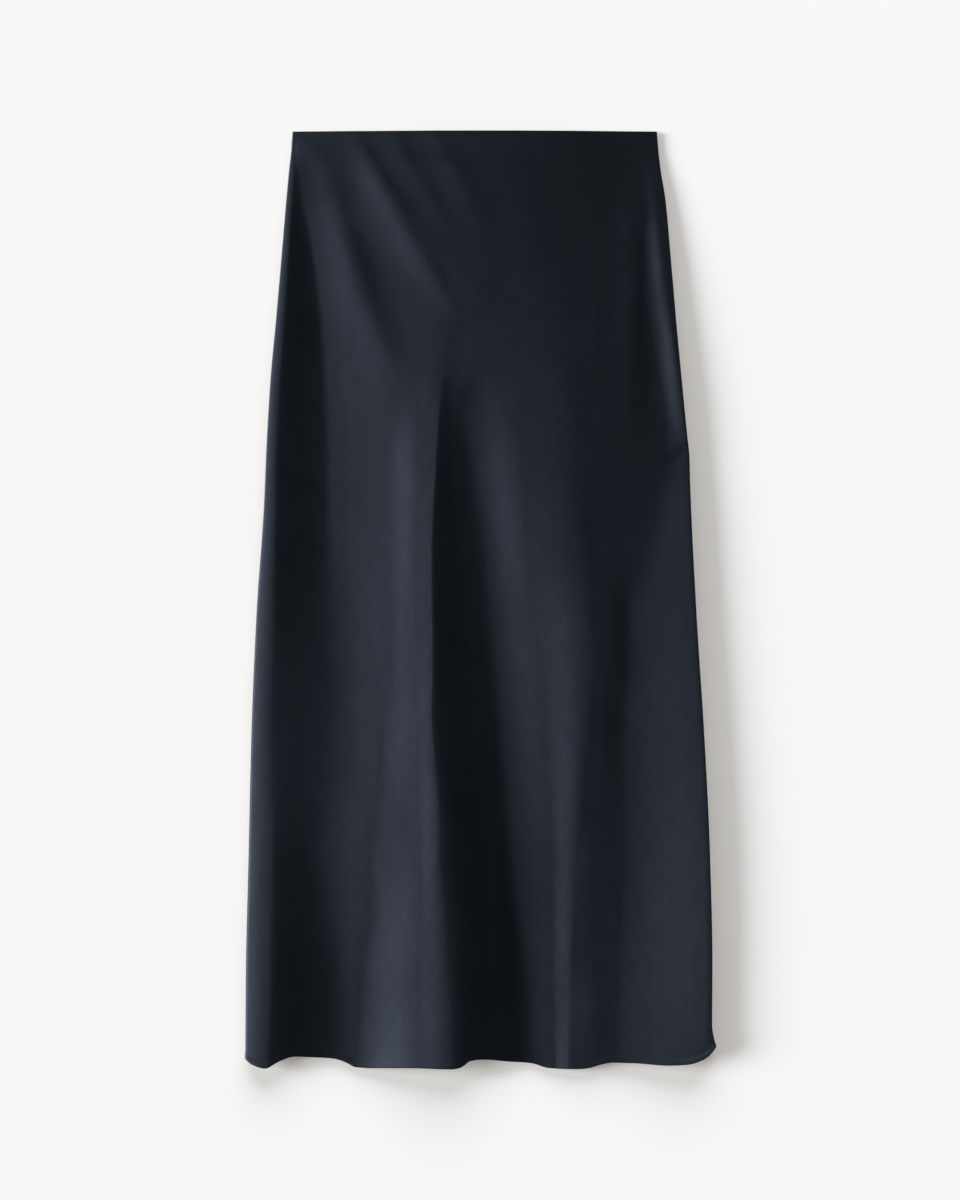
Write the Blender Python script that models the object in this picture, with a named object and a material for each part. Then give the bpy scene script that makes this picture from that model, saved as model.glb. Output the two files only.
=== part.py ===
"""Midi slip skirt in satin, laid flat: the front panel lies on the back panel, below a narrow waistband.

Metres, +Z up. The skirt lies on the plane z = 0, with its waist towards +Y, its hem towards -Y and the middle
of its outline over the origin. The tables are in millimetres: "down" is measured from the waist's edge
towards the hem, "x" from the middle of the outline, and heights from the plane that the skirt lies on.
"""

from collections import namedtuple

import bmesh
import bpy
import numpy as np

MM = 0.001

LENGTH = 889.0  # waist's edge to the lowest point of the hem
BAND_DEPTH = 18.0
BAND_WALL = 1.6  # satin, elastic and satin
CLOTH = 1.2  # wall of each panel
SEAM_GAP = 0.3

LEFT_CREST_CREASE = 0.8  # how sharply the cloth turns at the crest along its left side
LEFT_RISE = 0.14  # mean slope of the soft rise inside each side's tight edge
RIGHT_RISE = 0.03
EDGE_TIGHTNESS = 8  # the tight edge is over within about a third of the roll's width

ROWS = 31  # faces of a panel from the waist seam to the hem
ROLL_COLUMNS = 4  # faces round each rolled side
FOLD_COLUMNS = (4, 4, 3, 3, 3, 4, 3, 3, 2, 3, 5)  # faces of the front from each fold line to the next
BACK_COLUMNS = 14  # faces of the back between its rolled sides
BAND_ROWS = 3

SATIN = (0.012, 0.014, 0.020)  # dark navy
SATIN_ROUGHNESS = 0.42
SHARP_ANGLE = 50.0  # degrees; the cut edges stay crisp and the cloth is shaded round

# The outline, and how each side is rolled: the seam's height, the height of the crest beside it, and how
# far in from the edge this crest runs.
Side = namedtuple("Side", "down x seam crest roll")
LEFT_SIDE = [
    Side(0, -178.0, 2.8, 5.6, 2.8),
    Side(18, -179.2, 2.8, 5.8, 3.6),
    Side(35, -181.0, 3.2, 7.4, 5.0),
    Side(66, -183.8, 3.8, 9.4, 6.0),
    Side(122, -188.4, 4.4, 11.4, 7.0),
    Side(180, -193.4, 5.0, 12.8, 8.5),
    Side(236, -198.6, 5.4, 13.6, 10.0),
    Side(300, -202.4, 5.6, 14.0, 10.5),
    Side(360, -205.0, 5.8, 13.8, 12.0),
    Side(464, -212.0, 6.0, 12.8, 17.0),
    Side(578, -216.8, 6.2, 11.8, 20.0),
    Side(692, -219.4, 6.4, 14.3, 24.0),
    Side(806, -222.0, 6.6, 17.0, 25.5),
    Side(889, -222.5, 6.6, 17.4, 23.0),
]
RIGHT_SIDE = [
    Side(0, 168.0, 2.8, 5.6, 2.8),
    Side(18, 169.4, 2.8, 5.8, 3.6),
    Side(35, 171.3, 3.4, 7.2, 5.0),
    Side(66, 176.0, 4.0, 9.6, 7.0),
    Side(122, 180.8, 5.0, 12.6, 7.0),
    Side(180, 185.5, 6.0, 15.6, 6.0),
    Side(236, 190.4, 6.6, 17.9, 5.5),
    Side(296, 196.2, 7.0, 20.2, 5.0),
    Side(308, 197.6, 7.2, 20.5, 5.0),
    Side(350, 198.8, 7.6, 21.4, 5.0),
    Side(464, 204.3, 8.4, 23.1, 6.0),
    Side(578, 211.3, 8.8, 24.0, 7.0),
    Side(692, 216.6, 9.0, 25.1, 6.0),
    Side(806, 219.0, 9.0, 24.9, 5.0),
    Side(860, 220.4, 8.8, 24.4, 5.0),
    Side(889, 222.5, 8.6, 24.0, 5.0),
]

# The fold lines of the front, from left to right. Each row is a place that the line runs through, and crease
# is 0 where the cloth turns roundly there, up to 1 where it turns sharply.
Place = namedtuple("Place", "down x height crease", defaults=(0.0,))
FOLD_LINES = {
    "left trough": [
        Place(0, -169, 5.9),
        Place(18, -171, 6.4),
        Place(37, -171, 7.4),
        Place(66, -168, 8.2),
        Place(90, -164, 7.7, 0.4),
        Place(113, -160, 7.2, 0.5),
        Place(151, -155, 6.6, 0.5),
        Place(189, -151, 6.2, 0.5),
        Place(265, -147, 6.2, 0.5),
        Place(313, -145, 6.0, 0.5),
        Place(408, -144, 5.4, 0.3),
        Place(455, -141, 6.3),
        Place(550, -138, 7.7),
        Place(598, -140, 8.7),
        Place(645, -146, 9.2),
        Place(693, -148, 8.6),
        Place(740, -142, 7.8),
        Place(788, -135, 6.8),
        Place(835, -130, 5.6),
        Place(889, -132, 5.6),
    ],
    "left flank": [
        Place(0, -146, 7.2),
        Place(18, -140, 7.8),
        Place(37, -138, 9.0),
        Place(75, -131, 10.4),
        Place(113, -123, 10.5),
        Place(151, -113, 11.1),
        Place(189, -98, 12.0),
        Place(227, -83, 13.9),
        Place(265, -84, 13.2),
        Place(313, -86, 12.2),
        Place(408, -86, 11.6),
        Place(503, -86, 12.3),
        Place(550, -90, 12.4, 0.3),
        Place(598, -91, 13.3, 0.4),
        Place(645, -95, 13.7, 0.5),
        Place(693, -102, 12.2, 0.5),
        Place(740, -101, 10.9, 0.4),
        Place(788, -109, 8.2, 0.4),
        Place(835, -113, 6.2, 0.3),
        Place(889, -116, 6.3, 0.3),
    ],
    "left shoulder": [
        Place(0, -126, 8.0),
        Place(18, -122, 8.6),
        Place(37, -119, 10.0),
        Place(75, -121, 10.9, 0.3),
        Place(113, -104, 10.8, 0.4),
        Place(151, -90, 11.7, 0.3),
        Place(189, -77, 13.3, 0.2),
        Place(227, -66, 15.6),
        Place(265, -60, 16.2),
        Place(313, -60, 17.0),
        Place(408, -62, 16.2),
        Place(503, -62, 16.6),
        Place(598, -60, 19.0),
        Place(693, -57, 20.2),
        Place(788, -59, 18.8),
        Place(835, -60, 17.1),
        Place(889, -60, 19.0),
    ],
    "main crest": [
        Place(0, -108, 8.7),
        Place(18, -106, 9.5),
        Place(37, -95, 12.2, 0.3),
        Place(75, -66, 15.6, 0.5),
        Place(113, -44, 16.0, 0.4),
        Place(151, -32, 16.0, 0.1),
        Place(189, -30, 16.9, 0.1),
        Place(227, -34, 17.8),
        Place(265, -38, 18.4, 0.6),
        Place(313, -41, 19.2, 0.8),
        Place(408, -45, 18.6, 0.75),
        Place(503, -44, 19.4, 0.7),
        Place(550, -45, 20.5, 0.6),
        Place(598, -42, 21.8, 0.4),
        Place(645, -38, 23.2, 0.2),
        Place(693, -37, 23.4),
        Place(740, -33, 23.4),
        Place(788, -30, 23.0),
        Place(835, -27, 22.0),
        Place(889, -26, 23.4),
    ],
    "middle foot": [
        Place(0, -84, 9.6),
        Place(18, -78, 10.8),
        Place(37, -62, 13.6),
        Place(75, -50, 15.8),
        Place(113, -28, 16.3),
        Place(151, -16, 16.9),
        Place(189, -16, 17.2),
        Place(227, -22, 18.0),
        Place(265, -28, 17.0, 0.4),
        Place(313, -26, 16.2, 0.5),
        Place(360, -22, 14.0, 0.4),
        Place(408, -15, 12.2, 0.3),
        Place(503, -6, 10.1),
        Place(598, 4, 11.0),
        Place(693, 10, 12.0),
        Place(788, 15, 12.6),
        Place(835, 16, 11.4),
        Place(889, 17, 11.6),
    ],
    "middle trough": [
        Place(0, -60, 10.6),
        Place(18, -54, 11.6),
        Place(37, -42, 14.5),
        Place(75, -36, 16.1),
        Place(113, -14, 16.5),
        Place(151, -3, 17.2),
        Place(189, -4, 17.6),
        Place(227, -10, 18.5),
        Place(265, -14, 16.2),
        Place(313, -8, 14.0),
        Place(360, -2, 11.8),
        Place(408, 5, 9.8),
        Place(455, 9, 8.5),
        Place(503, 14, 7.2),
        Place(598, 24, 7.9),
        Place(693, 32, 7.6),
        Place(740, 38, 6.5),
        Place(788, 43, 5.7),
        Place(835, 47, 4.6),
        Place(889, 48, 5.0),
    ],
    "right foot": [
        Place(0, -34, 11.4),
        Place(18, -28, 12.3),
        Place(37, -18, 15.3),
        Place(75, -8, 16.6),
        Place(113, 6, 16.8),
        Place(151, 18, 17.4),
        Place(189, 30, 18.6),
        Place(227, 34, 20.2),
        Place(265, 38, 19.8),
        Place(313, 38, 19.2),
        Place(360, 43, 17.7),
        Place(408, 46, 15.3),
        Place(503, 56, 12.2),
        Place(598, 64, 11.9),
        Place(693, 68, 9.9),
        Place(740, 69, 8.5, 0.4),
        Place(788, 70, 7.5, 0.6),
        Place(835, 71, 6.3, 0.7),
        Place(889, 72, 6.7, 0.7),
    ],
    "right crest": [
        Place(0, 12, 11.8),
        Place(18, 18, 12.7),
        Place(37, 24, 15.3),
        Place(75, 32, 16.4),
        Place(113, 36, 16.8),
        Place(151, 52, 17.7),
        Place(189, 72, 19.3),
        Place(227, 76, 21.6),
        Place(265, 86, 21.8),
        Place(313, 88, 22.0),
        Place(360, 92, 21.2),
        Place(408, 98, 20.0),
        Place(455, 104, 19.9),
        Place(503, 107, 18.9),
        Place(550, 104, 18.0),
        Place(598, 99, 17.1),
        Place(645, 96, 15.7),
        Place(693, 91, 13.4),
        Place(740, 88, 11.8, 0.4),
        Place(788, 86, 10.4, 0.6),
        Place(835, 85, 8.8, 0.7),
        Place(889, 84, 9.3, 0.7),
    ],
    "right shoulder": [
        Place(0, 62, 11.0),
        Place(18, 70, 11.6),
        Place(37, 80, 12.8),
        Place(75, 90, 13.6),
        Place(113, 104, 14.4, 0.3),
        Place(151, 108, 16.6, 0.4),
        Place(189, 109, 18.8, 0.4),
        Place(227, 108, 20.8, 0.3),
        Place(313, 112, 21.4),
        Place(408, 114, 19.4),
        Place(455, 120, 19.6),
        Place(503, 119, 18.7),
        Place(550, 115, 17.8),
        Place(598, 112, 17.0),
        Place(693, 108, 14.2),
        Place(788, 108, 11.4),
        Place(889, 108, 10.5),
    ],
    "right trough": [
        Place(0, 138, 7.0),
        Place(18, 144, 6.9),
        Place(37, 150, 7.8),
        Place(75, 158, 9.8),
        Place(113, 154, 11.2, 0.4),
        Place(151, 155, 13.5, 0.4),
        Place(189, 162, 15.2, 0.4),
        Place(227, 168, 16.4, 0.3),
        Place(265, 174, 18.0),
        Place(313, 176, 19.1),
        Place(360, 164, 18.9),
        Place(408, 152, 18.6),
        Place(455, 142, 17.6, 0.4),
        Place(503, 142, 16.8, 0.3),
        Place(550, 138, 16.1, 0.3),
        Place(598, 137, 15.6, 0.3),
        Place(693, 138, 14.1, 0.3),
        Place(788, 134, 11.8, 0.4),
        Place(889, 131, 11.0, 0.5),
    ],
}

# Lesser folds laid over the lines: each is a ridge that fades out at its upper and its lower end.
Ridge = namedtuple("Ridge", "upper_down upper_x lower_down lower_x rise left_width right_width")
RIDGES = [
    Ridge(10, -157, 240, -80, 0.9, 15, 12),
    Ridge(-4, -123, 178, -22, 1.1, 16, 9),
    Ridge(-20, -97, 100, -28, 0.5, 11, 10),
    Ridge(-20, -56, 100, 10, 0.45, 12, 12),
    Ridge(20, 164, 190, 172, 0.6, 8, 6),
    Ridge(80, 171, 285, 192, 2.0, 10, 6),
    Ridge(50, 146, 300, 143, 1.4, 14, 10),
    Ridge(296, 204, 318, 177, -0.7, 7, 8),
]

# Where each panel's hem lies, at places across it.
Hem = namedtuple("Hem", "x down")
FRONT_HEM = [
    Hem(-222.5, 878.5),
    Hem(-216, 883.5),
    Hem(-203, 887.2),
    Hem(-190, 880.8),
    Hem(-176, 876.7),
    Hem(-165, 877.5),
    Hem(-138, 879.8),
    Hem(-126, 884.0),
    Hem(-118, 887.8),
    Hem(-108, 888.3),
    Hem(-84, 887.4),
    Hem(-60, 886.6),
    Hem(-26, 886.9),
    Hem(-17, 885.0),
    Hem(-10, 879.8),
    Hem(-2, 878.8),
    Hem(30, 882.3),
    Hem(50, 884.4),
    Hem(64, 888.4),
    Hem(74, 889.0),
    Hem(92, 889.0),
    Hem(103, 888.0),
    Hem(116, 884.2),
    Hem(126, 882.7),
    Hem(146, 882.9),
    Hem(176, 884.4),
    Hem(196, 883.0),
    Hem(212, 877.3),
    Hem(219, 871.0),
    Hem(222.5, 865.5),
]
BACK_HEM = [
    Hem(-222.5, 878.0),
    Hem(-200, 876.5),
    Hem(190, 877.5),
    Hem(210, 874.5),
    Hem(222.5, 865.0),
]


def slopes(places, values):
    """Slope at each place of a smooth curve that never swings past the values between them."""
    steps = np.diff(places)
    rates = np.diff(values) / steps
    found = np.zeros(len(places))
    found[0], found[-1] = rates[0], rates[-1]
    for i in range(1, len(places) - 1):
        if rates[i - 1] * rates[i] > 0:
            near, far = 2 * steps[i] + steps[i - 1], steps[i] + 2 * steps[i - 1]
            found[i] = (near + far) / (near / rates[i - 1] + far / rates[i])
    return found


def smooth(places, values, at, creases=None):
    """Value at each of the given places, along the curve through a short table; it turns sharply at creases."""
    places, values = np.asarray(places, float), np.asarray(values, float)
    at = np.clip(np.asarray(at, float), places[0], places[-1])
    rates = np.diff(values) / np.diff(places)
    tangents = slopes(places, values)
    sharp = np.zeros(len(places)) if creases is None else np.asarray(creases, float)
    leaving = tangents[:-1] + sharp[:-1] * (rates - tangents[:-1])
    coming = tangents[1:] + sharp[1:] * (rates - tangents[1:])
    i = np.clip(np.searchsorted(places, at, side="right") - 1, 0, len(places) - 2)
    width = places[i + 1] - places[i]
    t = (at - places[i]) / width
    return (
        values[i] * (1 + 2 * t) * (1 - t) ** 2
        + leaving[i] * width * t * (1 - t) ** 2
        + values[i + 1] * t * t * (3 - 2 * t)
        + coming[i] * width * t * t * (t - 1)
    )


def column(table, name, down):
    """One named column of a table, read at a distance down the skirt."""
    return float(smooth([row.down for row in table], [getattr(row, name) for row in table], down))


def ridges(x, down):
    """Height that the lesser folds add at places across one station."""
    total = np.zeros_like(x)
    for ridge in RIDGES:
        along = (down - ridge.upper_down) / (ridge.lower_down - ridge.upper_down)
        if 0 < along < 1:
            offset = x - ridge.upper_x - along * (ridge.lower_x - ridge.upper_x)
            width = np.where(offset < 0, ridge.left_width, ridge.right_width)
            fade = np.sin(np.pi * along) ** 0.7
            total += ridge.rise * fade * np.exp(-((offset / width) ** 2))
    return total


def side(table, down):
    """One side's outline, seam, crest and roll at a distance down the skirt."""
    return Side(down, *(column(table, name, down) for name in ("x", "seam", "crest", "roll")))


def rolled(turn, height, soft_rise):
    """Height gained along the turn of a side roll: a tight edge, and then the soft rise."""
    across = 1 - np.cos(turn)
    return (height - soft_rise) * (1 - (1 - across) ** EDGE_TIGHTNESS) + soft_rise * across * (2 - across)


def front_section(down, columns, roll_columns):
    """Outer face of the front across one station: x and height from the left seam to the right seam."""
    left, right = side(LEFT_SIDE, down), side(RIGHT_SIDE, down)
    places = [Place(down, left.x + left.roll, left.crest, LEFT_CREST_CREASE)]
    for line in FOLD_LINES.values():
        places.append(Place(down, *(column(line, name, down) for name in ("x", "height", "crease"))))
    places.append(Place(down, right.x - right.roll, right.crest))
    line_x = [place.x for place in places]

    between = zip(line_x[:-1], line_x[1:], columns)
    x = np.concatenate([np.linspace(a, b, n, endpoint=False) for a, b, n in between] + [line_x[-1:]])
    z = smooth(line_x, [place.height for place in places], x, [place.crease for place in places])
    z = z + ridges(x, down)

    turn = np.linspace(0, np.pi / 2, roll_columns, endpoint=False)
    left_x = left.x + left.roll * (1 - np.cos(turn))
    left_z = left.seam + rolled(turn, z[0] - left.seam, LEFT_RISE * left.roll)
    right_x = right.x - right.roll * (1 - np.cos(turn[::-1]))
    right_z = right.seam + rolled(turn[::-1], z[-1] - right.seam, RIGHT_RISE * right.roll)
    return np.concatenate([left_x, x, right_x]), np.concatenate([left_z, z, right_z])


def back_section(down, columns, roll_columns, seam_gap):
    """Outer face of the back across one station, flat below and curled up to the seam at each side."""
    left, right = side(LEFT_SIDE, down), side(RIGHT_SIDE, down)
    left_roll, right_roll = max(left.roll, left.seam), max(right.roll, right.seam)
    turn = np.linspace(0, np.pi / 2, roll_columns, endpoint=False)
    x = np.linspace(left.x + left_roll, right.x - right_roll, columns + 1)
    left_x = left.x + left_roll * (1 - np.cos(turn))
    left_z = (left.seam - seam_gap) * (1 - np.sin(turn))
    right_x = right.x - right_roll * (1 - np.cos(turn[::-1]))
    right_z = (right.seam - seam_gap) * (1 - np.sin(turn[::-1]))
    return np.concatenate([left_x, x, right_x]), np.concatenate([left_z, np.zeros_like(x), right_z])


def hem_down(hem, x):
    """How far down a hem lies at x."""
    return smooth([row.x for row in hem], [row.down for row in hem], x)


def panel_face(section, hem, rows):
    """Outer face of a panel from the waist seam to the hem, as a grid of points."""
    top = BAND_DEPTH + SEAM_GAP
    grid = []
    for share in np.linspace(0, 1, rows + 1):
        x, z = section(top + share * (LENGTH - top))
        down = top + share * (hem_down(hem, x) - top)
        grid.append(np.stack([x, LENGTH / 2 - down, z], axis=1))
    return np.array(grid)


def front_face(rows, columns, roll_columns):
    """Outer face of the front panel."""
    return panel_face(lambda down: front_section(down, columns, roll_columns), FRONT_HEM, rows)


def back_face(rows, columns, roll_columns):
    """Outer face of the back panel."""
    return panel_face(lambda down: back_section(down, columns, roll_columns, SEAM_GAP), BACK_HEM, rows)


def band_face(rows, front_columns, back_columns, roll_columns):
    """Outer face of the waistband as rings: over the front from left to right, and back below."""
    grid = []
    for down in np.linspace(0, BAND_DEPTH, rows + 1):
        over_x, over_z = front_section(down, front_columns, roll_columns)
        under_x, under_z = back_section(down, back_columns, roll_columns, 0.0)
        x = np.concatenate([over_x, under_x[-2:0:-1]])
        z = np.concatenate([over_z, under_z[-2:0:-1]])
        grid.append(np.stack([x, np.full_like(x, LENGTH / 2 - down), z], axis=1))
    return np.array(grid)


def unit(vectors):
    """The same directions at length one."""
    return vectors / np.linalg.norm(vectors, axis=2, keepdims=True)


def panel_inside(face, outwards):
    """Inner face of a panel, one cloth thickness in; outwards is +1 on the front and -1 on the back."""
    normals = unit(np.cross(np.gradient(face, axis=0), np.gradient(face, axis=1)))
    inside = face - outwards * CLOTH * normals
    inside[[0, -1], :, 1] = face[[0, -1], :, 1]
    inside[:, [0, -1], 2] = face[:, [0, -1], 2]
    return inside


def band_inside(face):
    """Inner face of the band's rings, one band wall in."""
    along = np.roll(face, -1, axis=1) - np.roll(face, 1, axis=1)
    normals = unit(np.stack([-along[..., 2], np.zeros(face.shape[:2]), along[..., 0]], axis=2))
    return face - BAND_WALL * normals


def shell(name, outer, inner, ring, material):
    """One closed body between two grids of points; a ring's last column meets its first."""
    rows, columns = outer.shape[:2]
    bm = bmesh.new()
    faces = [[[bm.verts.new(point * MM) for point in row] for row in grid] for grid in (outer, inner)]
    last = columns if ring else columns - 1
    for grid in faces:
        for i in range(rows - 1):
            for j in range(last):
                k = (j + 1) % columns
                bm.faces.new((grid[i][j], grid[i + 1][j], grid[i + 1][k], grid[i][k]))
    over, under = faces
    for i in (0, rows - 1):
        for j in range(last):
            k = (j + 1) % columns
            bm.faces.new((over[i][j], over[i][k], under[i][k], under[i][j]))
    if not ring:
        for j in (0, columns - 1):
            for i in range(rows - 1):
                bm.faces.new((over[i][j], over[i + 1][j], under[i + 1][j], under[i][j]))
    bmesh.ops.recalc_face_normals(bm, faces=bm.faces)
    mesh = bpy.data.meshes.new(name)
    bm.to_mesh(mesh)
    bm.free()
    mesh.polygons.foreach_set("use_smooth", [True] * len(mesh.polygons))
    mesh.set_sharp_from_angle(angle=np.radians(SHARP_ANGLE))
    mesh.materials.append(material)
    piece = bpy.data.objects.new(name, mesh)
    bpy.context.scene.collection.objects.link(piece)
    return piece


def satin(name, roughness):
    """Dark, softly glossy cloth."""
    material = bpy.data.materials.new(name)
    material.use_nodes = True
    surface = material.node_tree.nodes["Principled BSDF"]
    surface.inputs["Base Color"].default_value = (*SATIN, 1.0)
    surface.inputs["Roughness"].default_value = roughness
    surface.inputs["Metallic"].default_value = 0.0
    material.diffuse_color = (*SATIN, 1.0)
    return material


def build():
    """The three sewn pieces."""
    for old in list(bpy.data.objects):
        bpy.data.objects.remove(old, do_unlink=True)
    front = front_face(ROWS, FOLD_COLUMNS, ROLL_COLUMNS)
    back = back_face(ROWS, BACK_COLUMNS, ROLL_COLUMNS)
    band = band_face(BAND_ROWS, FOLD_COLUMNS, BACK_COLUMNS, ROLL_COLUMNS)
    shell("front_panel", front, panel_inside(front, 1), False, satin("front_satin", SATIN_ROUGHNESS))
    shell("back_panel", back, panel_inside(back, -1), False, satin("back_satin", SATIN_ROUGHNESS))
    shell("waistband", band, band_inside(band), True, satin("band_satin", SATIN_ROUGHNESS))


build()
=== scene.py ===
"""Midi slip skirt in dark satin, laid flat on a pale floor: cloth, waistband, hem stitches and a studio.

The tables and the functions that read them are in millimetres: "down" runs from the waist's edge
towards the hem, "x" from the middle of the outline, and heights from the floor. Everything in Blender is
in metres, with the skirt's waist towards +Y and the floor at z = 0.
"""

import math
from collections import namedtuple

import bmesh
import bpy
import numpy as np
from bpy.props import FloatProperty, FloatVectorProperty, IntProperty, PointerProperty
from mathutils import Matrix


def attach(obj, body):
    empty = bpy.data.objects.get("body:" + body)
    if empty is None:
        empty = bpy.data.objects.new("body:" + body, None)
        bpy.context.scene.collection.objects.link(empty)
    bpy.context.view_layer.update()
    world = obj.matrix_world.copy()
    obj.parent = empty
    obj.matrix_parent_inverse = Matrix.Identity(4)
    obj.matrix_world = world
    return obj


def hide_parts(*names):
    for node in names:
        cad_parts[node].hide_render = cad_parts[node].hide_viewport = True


bl_info = {
    "name": "Midi Slip Skirt",
    "version": (1, 0, 0),
    "blender": (4, 5, 0),
    "location": "3D View > Sidebar > Skirt",
    "description": "Builds a satin midi slip skirt that lies flat, with its studio",
    "category": "Object",
}

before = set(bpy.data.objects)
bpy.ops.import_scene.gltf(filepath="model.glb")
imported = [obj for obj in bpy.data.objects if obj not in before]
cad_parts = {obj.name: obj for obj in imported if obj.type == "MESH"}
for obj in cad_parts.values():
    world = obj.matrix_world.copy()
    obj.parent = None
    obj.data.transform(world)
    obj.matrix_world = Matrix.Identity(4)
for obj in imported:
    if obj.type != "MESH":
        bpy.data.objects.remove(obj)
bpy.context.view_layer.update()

MM = 0.001
LENGTH = 889.0  # waist's edge to the lowest point of the hem
BAND_DEPTH = 18.0
JOIN_GAP = 0.03  # at the waist seam and the side seams, which are sewn flush

# How the panels and the band are divided, before SkirtShape.detail makes the faces finer.
FOLD_COLUMNS = (4, 4, 3, 3, 3, 4, 3, 3, 2, 3, 5)  # faces of the front from each fold line to the next
ROLL_COLUMNS = 4  # faces round one side roll
BACK_COLUMNS = 28  # faces across the flat part of the back
BAND_BACK_COLUMNS = 14  # the same under the waistband
BAND_ROWS = 24  # not made finer

LEFT_CREST_CREASE = 0.8  # how sharply the cloth turns at the crest along its left side
LEFT_RISE = 0.14  # mean slope of the soft rise inside the left side's tight edge
RIGHT_RISE = 0.03  # the same on the right
EDGE_TIGHTNESS = 80  # the tight edge is over within about a twentieth of the roll's width
RIDGE_FADE = 0.7  # below 1, a lesser fold keeps its height over more of its length
SHARP_EDGE = math.radians(60)  # the cloth is shaded smoothly where it turns less than this

# The turned hem, in shares of its depth.
HEM_ROWS = (1.5, 1.15, 1.0, 0.85, 0.6, 0.35, 0.16, 0.08, 0.03, 0.0)  # where rows lie, up from the edge
HEM_ROWS_START = 2.2  # the even rows above it end here
HEM_STAND = {"places": (0.0, 0.72, 0.92, 1.3), "shares": (1.0, 1.0, 0.15, 0.0)}  # swell up from the edge
HEM_ROUNDING = {"places": (0.0, 0.05, 0.16), "shares": (-0.9, -0.25, 0.0)}  # taken off at the very edge

# The hem's stitches.
STITCH_INSET = 0.001  # metres below the top of the turned hem
STITCH_LIFT = 0.05  # millimetres off the cloth
UNSEWN_COLUMNS = 2  # left out at each side seam
STITCH_SIDES, STITCH_RINGS = 6, 5

# The outline, and how each side is rolled: the seam's height, the height of the crest beside it, and how
# far in from the edge this crest runs.
Side = namedtuple("Side", "down x seam crest roll")
LEFT_SIDE = [
    Side(0, -178.0, 2.8, 5.6, 2.8),
    Side(18, -179.2, 2.8, 5.8, 3.6),
    Side(35, -181.0, 3.2, 7.4, 5.0),
    Side(66, -183.8, 3.8, 9.4, 6.0),
    Side(122, -188.4, 4.4, 11.4, 7.0),
    Side(180, -193.4, 5.0, 12.8, 8.5),
    Side(236, -198.6, 5.4, 13.6, 10.0),
    Side(300, -202.4, 5.6, 14.0, 10.5),
    Side(360, -205.0, 5.8, 13.8, 12.0),
    Side(464, -212.0, 6.0, 12.8, 17.0),
    Side(578, -216.8, 6.2, 11.8, 20.0),
    Side(692, -219.4, 6.4, 14.3, 24.0),
    Side(806, -222.0, 6.6, 17.0, 25.5),
    Side(889, -222.5, 6.6, 17.4, 23.0),
]
RIGHT_SIDE = [
    Side(0, 168.0, 2.8, 5.6, 2.8),
    Side(18, 169.4, 2.8, 5.8, 3.6),
    Side(35, 171.3, 3.4, 7.2, 5.0),
    Side(66, 176.0, 4.0, 9.6, 7.0),
    Side(122, 180.8, 5.0, 12.6, 7.0),
    Side(180, 185.5, 6.0, 15.6, 6.0),
    Side(236, 190.4, 6.6, 18.2, 2.5),
    Side(296, 196.2, 7.0, 20.6, 1.8),
    Side(308, 197.6, 7.2, 20.0, 1.8),
    Side(330, 198.2, 7.4, 20.4, 1.8),
    Side(350, 198.8, 7.6, 21.5, 1.8),
    Side(464, 204.3, 8.4, 23.6, 1.8),
    Side(578, 211.3, 8.8, 24.6, 1.8),
    Side(692, 216.6, 9.0, 25.6, 1.8),
    Side(806, 219.0, 9.0, 25.3, 1.8),
    Side(860, 218.7, 8.8, 24.8, 1.8),
    Side(889, 222.5, 8.6, 24.4, 1.8),
]

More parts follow.
